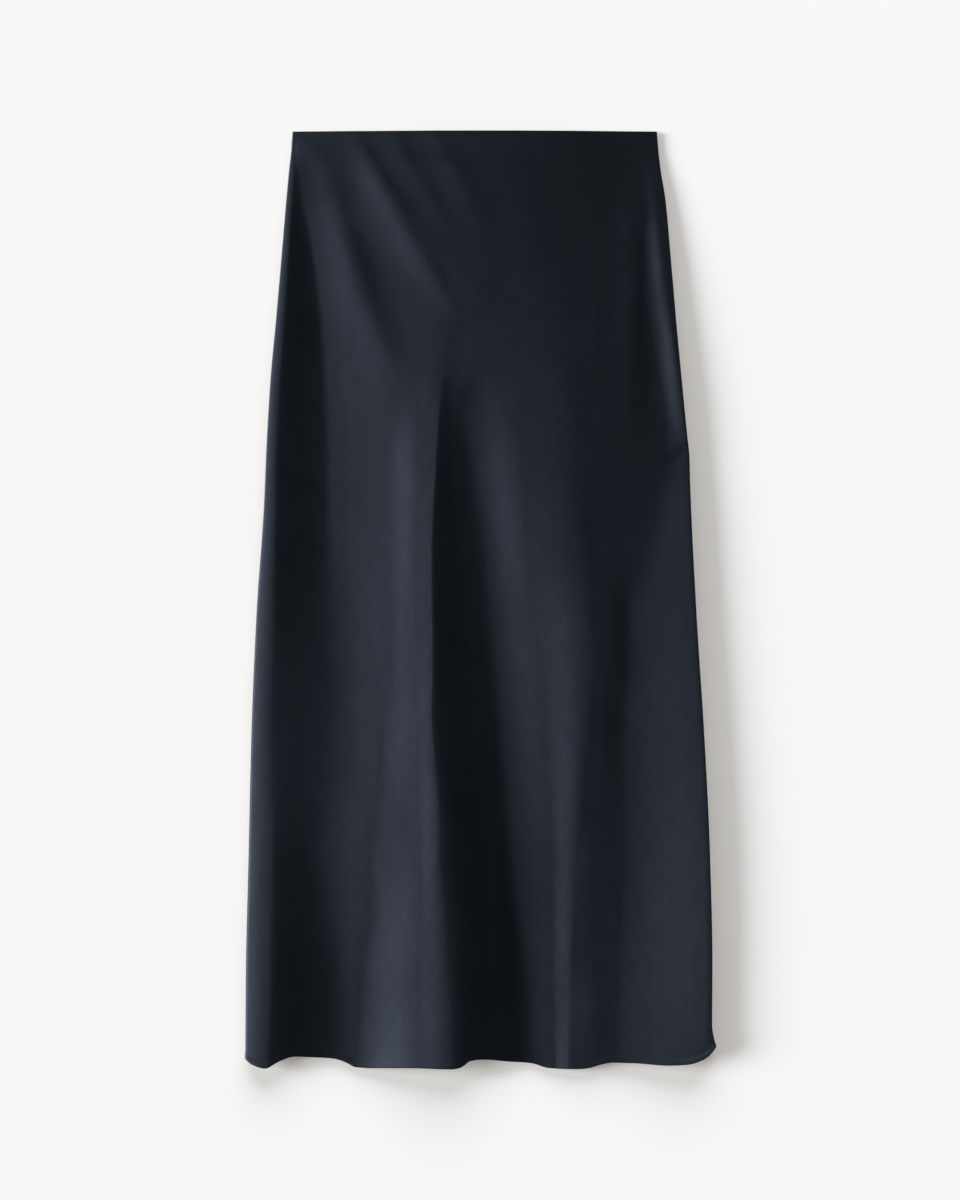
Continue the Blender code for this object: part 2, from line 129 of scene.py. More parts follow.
# The fold lines of the front, from left to right. Each row is a place that the line runs through, and
# crease is 0 where the cloth turns roundly there, up to 1 where it turns sharply.
Place = namedtuple("Place", "down x height crease", defaults=(0.0,))
FOLD_LINES = {
    "left trough": [
        Place(0, -169, 5.9),
        Place(18, -171, 6.4),
        Place(37, -171, 7.4),
        Place(66, -168, 8.2),
        Place(90, -164, 7.7, 0.4),
        Place(113, -160, 7.2, 0.5),
        Place(151, -155, 6.6, 0.5),
        Place(189, -151, 6.2, 0.5),
        Place(265, -147, 6.2, 0.5),
        Place(313, -145, 6.0, 0.5),
        Place(408, -144, 5.4, 0.3),
        Place(455, -141, 6.3),
        Place(550, -138, 7.7),
        Place(598, -140, 8.7),
        Place(645, -146, 9.2),
        Place(693, -148, 8.6),
        Place(740, -142, 7.8),
        Place(788, -135, 6.8),
        Place(835, -130, 5.6),
        Place(889, -132, 5.6),
    ],
    "left flank": [
        Place(0, -146, 7.2),
        Place(18, -140, 7.8),
        Place(37, -138, 9.0),
        Place(75, -131, 10.4),
        Place(113, -123, 10.5),
        Place(151, -113, 11.1),
        Place(189, -98, 12.0),
        Place(227, -83, 13.9),
        Place(265, -84, 13.2),
        Place(313, -86, 12.2),
        Place(408, -86, 11.6),
        Place(503, -86, 12.3),
        Place(550, -90, 12.4, 0.3),
        Place(598, -91, 13.3, 0.4),
        Place(645, -95, 13.7, 0.5),
        Place(693, -102, 12.2, 0.5),
        Place(740, -101, 10.9, 0.4),
        Place(788, -109, 8.2, 0.4),
        Place(835, -113, 6.2, 0.3),
        Place(889, -116, 6.3, 0.3),
    ],
    "left shoulder": [
        Place(0, -126, 8.0),
        Place(18, -122, 8.6),
        Place(37, -119, 10.0),
        Place(75, -121, 10.9, 0.3),
        Place(113, -104, 10.8, 0.4),
        Place(151, -90, 11.7, 0.3),
        Place(189, -77, 13.3, 0.2),
        Place(227, -66, 15.6),
        Place(265, -60, 16.2),
        Place(313, -60, 17.0),
        Place(408, -62, 16.2),
        Place(503, -62, 16.6),
        Place(598, -60, 19.0),
        Place(693, -57, 20.2),
        Place(788, -59, 18.8),
        Place(835, -60, 17.1),
        Place(889, -60, 19.0),
    ],
    "main crest": [
        Place(0, -108, 8.7),
        Place(18, -106, 9.5),
        Place(37, -95, 12.2, 0.3),
        Place(75, -66, 15.6, 0.5),
        Place(113, -44, 16.0, 0.4),
        Place(151, -32, 16.0, 0.1),
        Place(189, -30, 16.9, 0.1),
        Place(227, -34, 17.8),
        Place(265, -38, 18.4, 0.6),
        Place(313, -41, 19.2, 0.8),
        Place(408, -45, 18.6, 0.75),
        Place(503, -44, 19.4, 0.7),
        Place(550, -45, 20.5, 0.6),
        Place(598, -42, 21.8, 0.4),
        Place(645, -38, 23.2, 0.2),
        Place(693, -37, 23.4),
        Place(740, -33, 23.4),
        Place(788, -30, 23.0),
        Place(835, -27, 22.0),
        Place(889, -26, 23.4),
    ],
    "middle foot": [
        Place(0, -84, 9.6),
        Place(18, -78, 10.8),
        Place(37, -62, 13.6),
        Place(75, -50, 15.8),
        Place(113, -28, 16.3),
        Place(151, -16, 16.9),
        Place(189, -16, 17.2),
        Place(227, -22, 18.0),
        Place(265, -28, 17.0, 0.4),
        Place(313, -26, 16.2, 0.5),
        Place(360, -22, 14.0, 0.4),
        Place(408, -15, 12.2, 0.3),
        Place(503, -6, 10.1),
        Place(598, 4, 11.0),
        Place(693, 10, 12.0),
        Place(788, 15, 12.6),
        Place(835, 16, 11.4),
        Place(889, 17, 11.6),
    ],
    "middle trough": [
        Place(0, -60, 10.6),
        Place(18, -54, 11.6),
        Place(37, -42, 14.5),
        Place(75, -36, 16.1),
        Place(113, -14, 16.5),
        Place(151, -3, 17.2),
        Place(189, -4, 17.6),
        Place(227, -10, 18.5),
        Place(265, -14, 16.2),
        Place(313, -8, 14.0),
        Place(360, -2, 11.8),
        Place(408, 5, 9.8),
        Place(455, 9, 8.5),
        Place(503, 14, 7.2),
        Place(598, 24, 7.9),
        Place(693, 32, 7.6),
        Place(740, 38, 6.5),
        Place(788, 43, 5.7),
        Place(835, 47, 4.6),
        Place(889, 48, 5.0),
    ],
    "right foot": [
        Place(0, -34, 11.4),
        Place(18, -28, 12.3),
        Place(37, -18, 15.3),
        Place(75, -8, 16.6),
        Place(113, 6, 16.8),
        Place(151, 18, 17.4),
        Place(189, 30, 18.6),
        Place(227, 34, 20.2),
        Place(265, 38, 19.8),
        Place(313, 38, 19.2),
        Place(360, 43, 17.7),
        Place(408, 46, 15.3),
        Place(503, 56, 12.2),
        Place(598, 64, 11.9),
        Place(693, 68, 9.9),
        Place(740, 69, 8.5, 0.4),
        Place(788, 70, 7.5, 0.6),
        Place(835, 71, 6.3, 0.7),
        Place(889, 72, 6.7, 0.7),
    ],
    "right crest": [
        Place(0, 12, 11.8),
        Place(18, 18, 12.7),
        Place(37, 24, 15.3),
        Place(75, 32, 16.4),
        Place(113, 36, 16.8),
        Place(151, 52, 17.7),
        Place(189, 72, 19.3),
        Place(227, 76, 21.6),
        Place(265, 86, 21.8),
        Place(313, 88, 22.0),
        Place(360, 92, 21.2),
        Place(408, 98, 20.0),
        Place(455, 104, 19.9),
        Place(503, 107, 18.9),
        Place(550, 104, 18.0),
        Place(598, 99, 17.1),
        Place(645, 96, 15.7),
        Place(693, 91, 13.4),
        Place(740, 88, 11.8, 0.4),
        Place(788, 86, 10.4, 0.6),
        Place(835, 85, 8.8, 0.7),
        Place(889, 84, 9.3, 0.7),
    ],
    "right shoulder": [
        Place(0, 62, 11.0),
        Place(18, 70, 11.6),
        Place(37, 80, 12.8),
        Place(75, 90, 13.6),
        Place(113, 104, 14.4, 0.3),
        Place(151, 108, 16.6, 0.4),
        Place(189, 109, 18.8, 0.4),
        Place(227, 108, 20.8, 0.3),
        Place(313, 112, 21.4),
        Place(408, 114, 19.4),
        Place(455, 120, 19.6),
        Place(503, 119, 18.7),
        Place(550, 115, 17.8),
        Place(598, 112, 17.0),
        Place(693, 108, 14.2),
        Place(788, 108, 11.4),
        Place(889, 108, 10.5),
    ],
    "right trough": [
        Place(0, 138, 7.0),
        Place(18, 144, 6.9),
        Place(37, 150, 7.8),
        Place(75, 158, 9.8),
        Place(113, 154, 11.2, 0.4),
        Place(151, 155, 13.5, 0.4),
        Place(189, 162, 15.2, 0.4),
        Place(227, 168, 16.4, 0.3),
        Place(265, 174, 18.0),
        Place(313, 176, 19.1),
        Place(360, 164, 18.9),
        Place(408, 152, 18.6),
        Place(455, 142, 17.6, 0.4),
        Place(503, 142, 16.8, 0.3),
        Place(550, 138, 16.1, 0.3),
        Place(598, 137, 15.6, 0.3),
        Place(693, 138, 14.1, 0.3),
        Place(788, 134, 11.8, 0.4),
        Place(889, 131, 11.0, 0.5),
    ],
}

# Lesser folds laid over the lines: each is a ridge that fades out at its upper and its lower end.
Ridge = namedtuple("Ridge", "upper_down upper_x lower_down lower_x rise left_width right_width")
RIDGES = [
    Ridge(10, -157, 240, -80, 0.9, 15, 12),
    Ridge(-4, -123, 178, -22, 1.1, 16, 9),
    Ridge(-20, -97, 100, -28, 0.5, 11, 10),
    Ridge(-20, -56, 100, 10, 0.45, 12, 12),
    Ridge(20, 164, 190, 172, 0.6, 8, 6),
    Ridge(80, 171, 285, 192, 2.0, 10, 6),
    Ridge(50, 146, 300, 143, 1.4, 14, 10),
    Ridge(296, 204, 318, 177, -0.7, 7, 8),
]

# Where each panel's hem lies, at places across it.
Hem = namedtuple("Hem", "x down")
FRONT_HEM = [
    Hem(-222.5, 878.5),
    Hem(-216, 883.5),
    Hem(-203, 887.2),
    Hem(-190, 880.8),
    Hem(-176, 876.7),
    Hem(-165, 877.5),
    Hem(-138, 879.8),
    Hem(-126, 884.0),
    Hem(-118, 887.8),
    Hem(-108, 888.3),
    Hem(-84, 887.4),
    Hem(-60, 886.6),
    Hem(-26, 886.9),
    Hem(-17, 885.0),
    Hem(-10, 879.8),
    Hem(-2, 878.8),
    Hem(30, 882.3),
    Hem(50, 884.4),
    Hem(64, 888.4),
    Hem(74, 889.0),
    Hem(92, 889.0),
    Hem(103, 888.0),
    Hem(116, 884.2),
    Hem(126, 882.7),
    Hem(146, 882.9),
    Hem(176, 884.4),
    Hem(196, 883.0),
    Hem(212, 877.3),
    Hem(219, 871.0),
    Hem(222.5, 865.5),
]
BACK_HEM = [
    Hem(-222.5, 878.0),
    Hem(-200, 876.5),
    Hem(190, 877.5),
    Hem(210, 874.5),
    Hem(222.5, 865.0),
]


def slopes(places, values):
    """Slope at each place of a smooth curve that never swings past the values between them."""
    steps = np.diff(places)
    rates = np.diff(values) / steps
    found = np.zeros(len(places))
    found[0], found[-1] = rates[0], rates[-1]
    for i in range(1, len(places) - 1):
        if rates[i - 1] * rates[i] > 0:
            near, far = 2 * steps[i] + steps[i - 1], steps[i] + 2 * steps[i - 1]
            found[i] = (near + far) / (near / rates[i - 1] + far / rates[i])
    return found


def smooth(places, values, at, creases=None):
    """Value at each given place, along the curve through a short table; it turns sharply at creases."""
    places, values = np.asarray(places, float), np.asarray(values, float)
    at = np.clip(np.asarray(at, float), places[0], places[-1])
    rates = np.diff(values) / np.diff(places)
    tangents = slopes(places, values)
    sharp = np.zeros(len(places)) if creases is None else np.asarray(creases, float)
    leaving = tangents[:-1] + sharp[:-1] * (rates - tangents[:-1])
    coming = tangents[1:] + sharp[1:] * (rates - tangents[1:])
    i = np.clip(np.searchsorted(places, at, side="right") - 1, 0, len(places) - 2)
    width = places[i + 1] - places[i]
    t = (at - places[i]) / width
    return (
        values[i] * (1 + 2 * t) * (1 - t) ** 2
        + leaving[i] * width * t * (1 - t) ** 2
        + values[i + 1] * t * t * (3 - 2 * t)
        + coming[i] * width * t * t * (t - 1)
    )


def column(table, name, down):
    """One named column of a table, read at a distance down the skirt."""
    return float(smooth([row.down for row in table], [getattr(row, name) for row in table], down))


def ridges(x, down):
    """Height that the lesser folds add at places across one station."""
    total = np.zeros_like(x)
    for ridge in RIDGES:
        along = (down - ridge.upper_down) / (ridge.lower_down - ridge.upper_down)
        if 0 < along < 1:
            offset = x - ridge.upper_x - along * (ridge.lower_x - ridge.upper_x)
            width = np.where(offset < 0, ridge.left_width, ridge.right_width)
            fade = np.sin(np.pi * along) ** RIDGE_FADE
            total += ridge.rise * fade * np.exp(-((offset / width) ** 2))
    return total


def side(table, down):
    """One side's outline, seam, crest and roll at a distance down the skirt."""
    return Side(down, *(column(table, name, down) for name in ("x", "seam", "crest", "roll")))


def rolled(turn, height, soft_rise):
    """Height gained along the turn of a side roll: a tight edge, and then the soft rise."""
    across = 1 - np.cos(turn)
    edge = (height - soft_rise) * (1 - (1 - across) ** EDGE_TIGHTNESS)
    return edge + soft_rise * across * (2 - across)


def front_section(down, columns, roll_columns):
    """Outer face of the front across one station: x and height from the left seam to the right seam."""
    left, right = side(LEFT_SIDE, down), side(RIGHT_SIDE, down)
    places = [Place(down, left.x + left.roll, left.crest, LEFT_CREST_CREASE)]
    for line in FOLD_LINES.values():
        places.append(Place(down, *(column(line, name, down) for name in ("x", "height", "crease"))))
    places.append(Place(down, right.x - right.roll, right.crest))
    line_x = [place.x for place in places]

    between = zip(line_x[:-1], line_x[1:], columns)
    x = np.concatenate([np.linspace(a, b, n, endpoint=False) for a, b, n in between] + [line_x[-1:]])
    z = smooth(line_x, [place.height for place in places], x, [place.crease for place in places])
    z = z + ridges(x, down)

    turn = np.linspace(0, np.pi / 2, roll_columns, endpoint=False)
    left_x = left.x + left.roll * (1 - np.cos(turn))
    left_z = left.seam + rolled(turn, z[0] - left.seam, LEFT_RISE * left.roll)
    right_x = right.x - right.roll * (1 - np.cos(turn[::-1]))
    right_z = right.seam + rolled(turn[::-1], z[-1] - right.seam, RIGHT_RISE * right.roll)
    return np.concatenate([left_x, x, right_x]), np.concatenate([left_z, z, right_z])


def back_section(down, columns, roll_columns, seam_gap):
    """Outer face of the back across one station, flat below and curled up to the seam at each side."""
    left, right = side(LEFT_SIDE, down), side(RIGHT_SIDE, down)
    left_roll, right_roll = max(left.roll, left.seam), max(right.roll, right.seam)
    turn = np.linspace(0, np.pi / 2, roll_columns, endpoint=False)
    x = np.linspace(left.x + left_roll, right.x - right_roll, columns + 1)
    left_x = left.x + left_roll * (1 - np.cos(turn))
    left_z = (left.seam - seam_gap) * (1 - np.sin(turn))
    right_x = right.x - right_roll * (1 - np.cos(turn[::-1]))
    right_z = (right.seam - seam_gap) * (1 - np.sin(turn[::-1]))
    return np.concatenate([left_x, x, right_x]), np.concatenate([left_z, np.zeros_like(x), right_z])


def hem_down(hem, x):
    """How far down a hem lies at x."""
    return smooth([row.x for row in hem], [row.down for row in hem], x)


def panel_face(section, hem, row_shares):
    """Outer face of a panel from the waist seam to the hem, as a grid of points."""
    top = BAND_DEPTH + JOIN_GAP
    grid = []
    for share in row_shares:
        x, z = section(top + share * (LENGTH - top))
        down = top + share * (hem_down(hem, x) - top)
        grid.append(np.stack([x, LENGTH / 2 - down, z], axis=1))
    return np.array(grid)


def band_face(rows, front_columns, back_columns, roll_columns):
    """Outer face of the waistband as rings: over the front from left to right, and back below."""
    grid = []
    for down in np.linspace(0, BAND_DEPTH, rows + 1):
        over_x, over_z = front_section(down, front_columns, roll_columns)
        under_x, under_z = back_section(down, back_columns, roll_columns, 0.0)
        x = np.concatenate([over_x, under_x[-2:0:-1]])
        z = np.concatenate([over_z, under_z[-2:0:-1]])
        grid.append(np.stack([x, np.full_like(x, LENGTH / 2 - down), z], axis=1))
    return np.array(grid)


def unit(vectors):
    """The same directions at length one."""
    return vectors / np.linalg.norm(vectors, axis=2, keepdims=True)


def normals(face):
    """Upward normals of a grid of points."""
    return unit(np.cross(np.gradient(face, axis=0), np.gradient(face, axis=1)))


def finely(columns, factor):
    """Column counts multiplied, so that the fold lines stay on the mesh's lines."""
    return tuple(round(count * factor) for count in columns)


def shares(rows, hem_depth):
    """Rows from the waist seam to the hem as shares of the panel's length, closer at the turned hem."""
    panel = LENGTH - BAND_DEPTH
    turned = np.array(HEM_ROWS) * hem_depth
    even = np.linspace(0, panel - HEM_ROWS_START * hem_depth, rows + 1)
    return np.concatenate([even, panel - turned]) / panel


def hem_swell(down, hem_line, depth, swell):
    """How far the turned hem stands out of the cloth; it is round at the very edge."""
    distance = np.clip(hem_line - down, 0, None) / depth
    turned = swell * smooth(HEM_STAND["places"], HEM_STAND["shares"], distance)
    edge = smooth(HEM_ROUNDING["places"], HEM_ROUNDING["shares"], distance)
    return turned + swell * edge


def closed(name, outer, inner, ring, material):
    """One closed shell between two grids of points; its UV map is the cloth laid out, in metres."""
    rows, columns = outer.shape[:2]
    count = rows * columns
    number = np.arange(count).reshape(rows, columns)
    if ring:
        number = np.concatenate([number, number[:, :1]], axis=1)
    quads = np.stack([number[:-1, :-1], number[1:, :-1], number[1:, 1:], number[:-1, 1:]], axis=-1)
    sheets = [quads.reshape(-1, 4), quads.reshape(-1, 4)[:, ::-1] + count]
    for row, turn in ((number[0], 1), (number[-1], -1)):
        rim = np.stack([row[:-1], row[1:], row[1:] + count, row[:-1] + count], axis=-1)
        sheets.append(rim[:, ::turn])
    if not ring:
        for line, turn in ((number[:, 0], -1), (number[:, -1], 1)):
            rim = np.stack([line[:-1], line[1:], line[1:] + count, line[:-1] + count], axis=-1)
            sheets.append(rim[:, ::turn])
    faces = np.concatenate(sheets)
    points = np.concatenate([outer.reshape(-1, 3), inner.reshape(-1, 3)]) * MM

    mesh = bpy.data.meshes.new(name)
    mesh.from_pydata(points.tolist(), [], faces.tolist())
    mesh.polygons.foreach_set("use_smooth", np.ones(len(faces), bool))
    mesh.set_sharp_from_angle(angle=SHARP_EDGE)
    mesh.materials.append(material)

    across = np.zeros((rows, columns))
    across[:, 1:] = np.cumsum(np.linalg.norm(np.diff(outer, axis=1), axis=2), axis=1)
    across -= across[:, columns // 2, None]
    along = np.zeros((rows, columns))
    along[1:] = np.cumsum(np.linalg.norm(np.diff(outer, axis=0), axis=2), axis=0)
    flat = np.stack([across, along], axis=2).reshape(-1, 2) * MM
    corners = np.zeros(len(mesh.loops), np.int32)
    mesh.loops.foreach_get("vertex_index", corners)
    layer = mesh.uv_layers.new(name="cloth")
    layer.data.foreach_set("uv", flat[corners % count].ravel())
    return piece(name, mesh)


def piece(name, mesh):
    """A mesh as an object in the scene, at the origin, riding on the skirt's one body."""
    made = bpy.data.objects.new(name, mesh)
    bpy.context.scene.collection.objects.link(made)
    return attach(made, "root")


class Wire:
    """A shader socket that takes part in arithmetic, each step of which is a Math node."""

    def __init__(self, tree, socket):
        self.tree = tree
        self.socket = socket

    def math(self, operation, *others):
        """One Math node, with this value first."""
        node = self.tree.nodes.new("ShaderNodeMath")
        node.operation = operation
        for slot, value in enumerate((self, *others)):
            self.tree.plug(node.inputs[slot], value)
        return Wire(self.tree, node.outputs[0])

    def __add__(self, other):
        return self.math("ADD", other)

    __radd__ = __add__

    def __mul__(self, other):
        return self.math("MULTIPLY", other)

    __rmul__ = __mul__

    def __sub__(self, other):
        return self.math("SUBTRACT", other)

    def __rsub__(self, other):
        return (self * -1.0) + other

    def sine(self):
        return self.math("SINE")


# Sockets by number: the two colours that a Mix node blends, the colour that it gives, and the Texture
# Coordinate node's object coordinates.
MIX_LOW, MIX_HIGH, MIXED_COLOUR = 6, 7, 2
OBJECT_PLACE = 3


class Shader:
    """A material's node tree, with a Principled surface to plug into."""

    def __init__(self, name):
        self.material = bpy.data.materials.new(name)
        self.material.use_nodes = True
        self.nodes = self.material.node_tree.nodes
        self.surface = self.nodes["Principled BSDF"]

    def plug(self, socket, value):
        """Links a wire to a socket, or sets the socket to a plain value."""
        if isinstance(value, Wire):
            self.material.node_tree.links.new(value.socket, socket)
        else:
            socket.default_value = value

    def node(self, kind, output=0, settings=(), **inputs):
        """Any other node: its settings, its inputs by name, and the wanted output."""
        made = self.nodes.new(kind)
        for key, value in dict(settings).items():
            setattr(made, key, value)
        for key, value in inputs.items():
            self.plug(made.inputs[key.replace("_", " ")], value)
        return Wire(self, made.outputs[output])

    def blend(self, share, low, high):
        """One colour that turns into another as the share grows from 0 to 1."""
        mixed = self.node("ShaderNodeMix", output=MIXED_COLOUR, settings={"data_type": "RGBA"})
        sockets = mixed.socket.node.inputs
        sockets[MIX_LOW].default_value = low
        sockets[MIX_HIGH].default_value = high
        self.plug(sockets["Factor"], share)
        return mixed

    def set(self, **values):
        """Plugs values into the surface's own sockets."""
        for key, value in values.items():
            self.plug(self.surface.inputs[key.replace("_", " ")], value)


def colour(value, strength=1.0):
    """A colour property, made lighter or darker, as a colour with full alpha."""
    return (*(np.array(value) * strength), 1.0)


# The satin's patterns, in repeats to a metre unless said otherwise.
SLUBS_ALONG, SLUBS_ACROSS = 60.0, 900.0
CLOUDS = 24.0
CREASES = 55.0
THREAD_WANDER = 2.0  # radians of a thread's turn
FLOAT_LENGTH = 5.0  # threads that a satin thread passes over before it goes under one
SATIN_IOR = 1.5
DARKEST, PALEST = 0.7, 1.3  # how far the satin's shade wanders, in its own colour's strength

# The sewing thread's twist and flecks, in repeats to a metre, and how deep its twist is, in metres.
TWISTS, FLECKS = 1400.0, 300.0
TWIST_DEPTH = 0.0001
PALEST_FLECK = 1.8  # in the satin colour's strength


def satin(name):
    """Bias-cut satin: fine slanting threads, faint slubs, soft creasing and an uneven gloss."""
    look = bpy.context.scene.skirt_satin
    shader = Shader(name)
    flat = shader.node("ShaderNodeUVMap", settings={"uv_map": "cloth"})
    part = shader.nodes.new("ShaderNodeSeparateXYZ")
    shader.plug(part.inputs[0], flat)
    across, down = Wire(shader, part.outputs[0]), Wire(shader, part.outputs[1])
    warp = (across + down) * math.sqrt(0.5)
    weft = (across - down) * math.sqrt(0.5)

    grain = shader.node("ShaderNodeCombineXYZ", X=warp * SLUBS_ALONG, Y=weft * SLUBS_ACROSS, Z=0.0)
    slub = shader.node("ShaderNodeTexNoise", Vector=grain, Scale=1.0, Detail=3.0, Roughness=0.6)
    cloud = shader.node("ShaderNodeTexNoise", Vector=flat, Scale=CLOUDS, Detail=4.0, Roughness=0.55)
    crease = shader.node("ShaderNodeTexNoise", Vector=flat, Scale=CREASES, Detail=3.0, Roughness=0.5)
    turn = math.tau / look.thread
    lengthwise = (warp * turn + slub * THREAD_WANDER).sine()
    crosswise = (weft * (turn / FLOAT_LENGTH)).sine()
    threads = lengthwise * 0.5 + crosswise * 0.5

    shade = 0.38 + cloud * 0.16 + slub * 0.08  # about 0.5 on the whole
    height = threads * look.thread_height + slub * look.slub_height + crease * look.crease_height
    bump = shader.node("ShaderNodeBump", Strength=1.0, Distance=1.0, Height=height)
    shader.set(
        Base_Color=shader.blend(shade, colour(look.colour, DARKEST), colour(look.colour, PALEST)),
        Roughness=look.roughness - 0.06 + cloud * 0.08 + slub * 0.04,  # look.roughness on the whole
        Metallic=0.0,
        IOR=SATIN_IOR,
        Specular_IOR_Level=look.gloss,
        Specular_Tint=colour(look.gloss_tint),
        Normal=bump,
    )
    return shader.material


def thread(name):
    """Polyester sewing thread, twisted, in the satin's colour."""
    look = bpy.context.scene.skirt_satin
    shader = Shader(name)
    place = shader.node("ShaderNodeTexCoord", output=OBJECT_PLACE)
    twist = shader.node("ShaderNodeTexWave", Vector=place, Scale=TWISTS, Distortion=1.5, Detail=1.0)
    fleck = shader.node("ShaderNodeTexNoise", Vector=place, Scale=FLECKS)
    bump = shader.node("ShaderNodeBump", Strength=0.5, Distance=TWIST_DEPTH, Height=twist)
    shader.set(
        Base_Color=shader.blend(fleck, colour(look.colour), colour(look.colour, PALEST_FLECK)),
        Roughness=0.4 + fleck * 0.2,
        Normal=bump,
    )
    return shader.material


class SkirtShape(bpy.types.PropertyGroup):
    """Sizes of the cloth and its sewing."""

    wall: FloatProperty(
        name="Cloth", description="Thickness of the satin", default=0.0006, unit="LENGTH"
    )
    band_wall: FloatProperty(
        name="Band",
        description="Thickness of the band's satin and elastic",
        default=0.0015,
        unit="LENGTH",
    )
    hem_depth: FloatProperty(
        name="Hem depth", description="Depth of the turned hem", default=0.006, unit="LENGTH"
    )
    hem_swell: FloatProperty(
        name="Hem swell", description="How far the turned hem stands out", default=0.00035, unit="LENGTH"
    )
    stitch: FloatProperty(
        name="Stitch", description="Length of one hem stitch", default=0.0024, unit="LENGTH"
    )
    stitch_pitch: FloatProperty(
        name="Stitch pitch", description="From one hem stitch to the next", default=0.0031, unit="LENGTH"
    )
    thread_width: FloatProperty(
        name="Thread", description="Width of the sewing thread", default=0.0003, unit="LENGTH"
    )
    rows: IntProperty(name="Rows", description="Rows of faces down a panel", default=250)
    detail: FloatProperty(
        name="Detail", description="How many times finer the faces are across", default=3.6
    )


class SkirtSatin(bpy.types.PropertyGroup):
    """Colours and gloss of the satin."""

    colour: FloatVectorProperty(
        name="Satin", description="Dark navy satin", default=(0.0005, 0.0013, 0.0012), subtype="COLOR"
    )
    gloss_tint: FloatVectorProperty(
        name="Gloss tint",
        description="Colour of the satin's gloss",
        default=(0.60, 0.70, 1.0),
        subtype="COLOR",
    )
    roughness: FloatProperty(name="Roughness", description="Roughness of the satin", default=0.53)
    gloss: FloatProperty(name="Gloss", description="Strength of the satin's gloss", default=0.70)
    thread: FloatProperty(
        name="Threads", description="Pitch of the threads", default=0.00036, unit="LENGTH"
    )
    thread_height: FloatProperty(
        name="Thread height", description="Relief of the threads", default=0.000012, unit="LENGTH"
    )
    slub_height: FloatProperty(
        name="Slub height", description="Relief of uneven threads", default=0.00003, unit="LENGTH"
    )
    crease_height: FloatProperty(
        name="Crease height", description="Relief of soft small creasing", default=0.0003, unit="LENGTH"
    )


class SkirtStudio(bpy.types.PropertyGroup):
    """Camera, floor and lights."""

    camera_height: FloatProperty(
        name="Camera height", description="Straight above the skirt", default=2.536, unit="LENGTH"
    )
    lens: FloatProperty(name="Lens", description="Focal length in millimetres", default=80.0)
    floor_colour: FloatVectorProperty(
        name="Floor", description="Plain pale floor", default=(0.577, 0.583, 0.593), subtype="COLOR"
    )
    glow: FloatProperty(
        name="Glow", description="How far the floor lights up by itself, as a light table", default=0.34
    )
    glow_colour: FloatVectorProperty(
        name="Glow colour",
        description="Warm light in the shadows",
        default=(0.707, 0.656, 0.576),
        subtype="COLOR",
    )
    key: FloatProperty(name="Key", description="Strength of the soft light on the left", default=4.7)
    key_height: FloatProperty(
        name="Key height",
        description="How high the key stands",
        default=math.radians(28),
        subtype="ANGLE",
    )
    key_width: FloatProperty(
        name="Key width",
        description="How wide the key looks",
        default=math.radians(32),
        subtype="ANGLE",
    )
    fill: FloatProperty(
        name="Fill", description="Strength of the light from the waist's end", default=5.1
    )
    low_fill: FloatProperty(
        name="Low fill", description="Strength of the light from the hem's end", default=0.19
    )
    rim: FloatProperty(
        name="Rim",
        description="Brightness of the pale horizon, which the satin mirrors from the sides",
        default=1.0,
    )
    rim_height: FloatProperty(
        name="Rim height",
        description="How far up the horizon's pale band reaches, as a sine",
        default=0.35,
    )
    room: FloatProperty(
        name="Room", description="Brightness that the satin mirrors from overhead", default=0.01
    )


def panel_faces(section, hem, outwards):
    """A panel's outer and inner face, with its turned hem; outwards is 1 for up and -1 for down.

    The turned hem of the back swells inwards only, because the back lies on the floor.
    """
    shape = bpy.context.scene.skirt_shape
    depth, swell = shape.hem_depth / MM, shape.hem_swell / MM
    face = panel_face(section, hem, shares(shape.rows, depth))
    up = normals(face)
    down = LENGTH / 2 - face[..., 1]
    stand = hem_swell(down, hem_down(hem, face[..., 0]), depth, swell)[..., None]
    outer = face + (stand * up if outwards > 0 else np.minimum(stand, 0) * -up)
    inner = face - outwards * (shape.wall / MM + stand) * up
    inner[[0, -1], :, 1] = outer[[0, -1], :, 1]
    inner[:, [0, -1], 2] = outer[:, [0, -1], 2]
    return outer, inner


def seam_line(face):
    """Places along a panel's hem, just below the top of its turning and a little off the cloth."""
    inset = (bpy.context.scene.skirt_shape.hem_depth - STITCH_INSET) / MM
    line = []
    up = normals(face)
    for j in range(UNSEWN_COLUMNS, face.shape[1] - UNSEWN_COLUMNS):
        down = LENGTH / 2 - face[:, j, 1]
        wanted = down[-1] - inset
        i = int(np.searchsorted(down, wanted))
        share = (wanted - down[i - 1]) / (down[i] - down[i - 1])
        point = face[i - 1, j] + share * (face[i, j] - face[i - 1, j])
        line.append(point + STITCH_LIFT * up[i, j])
    return np.array(line)


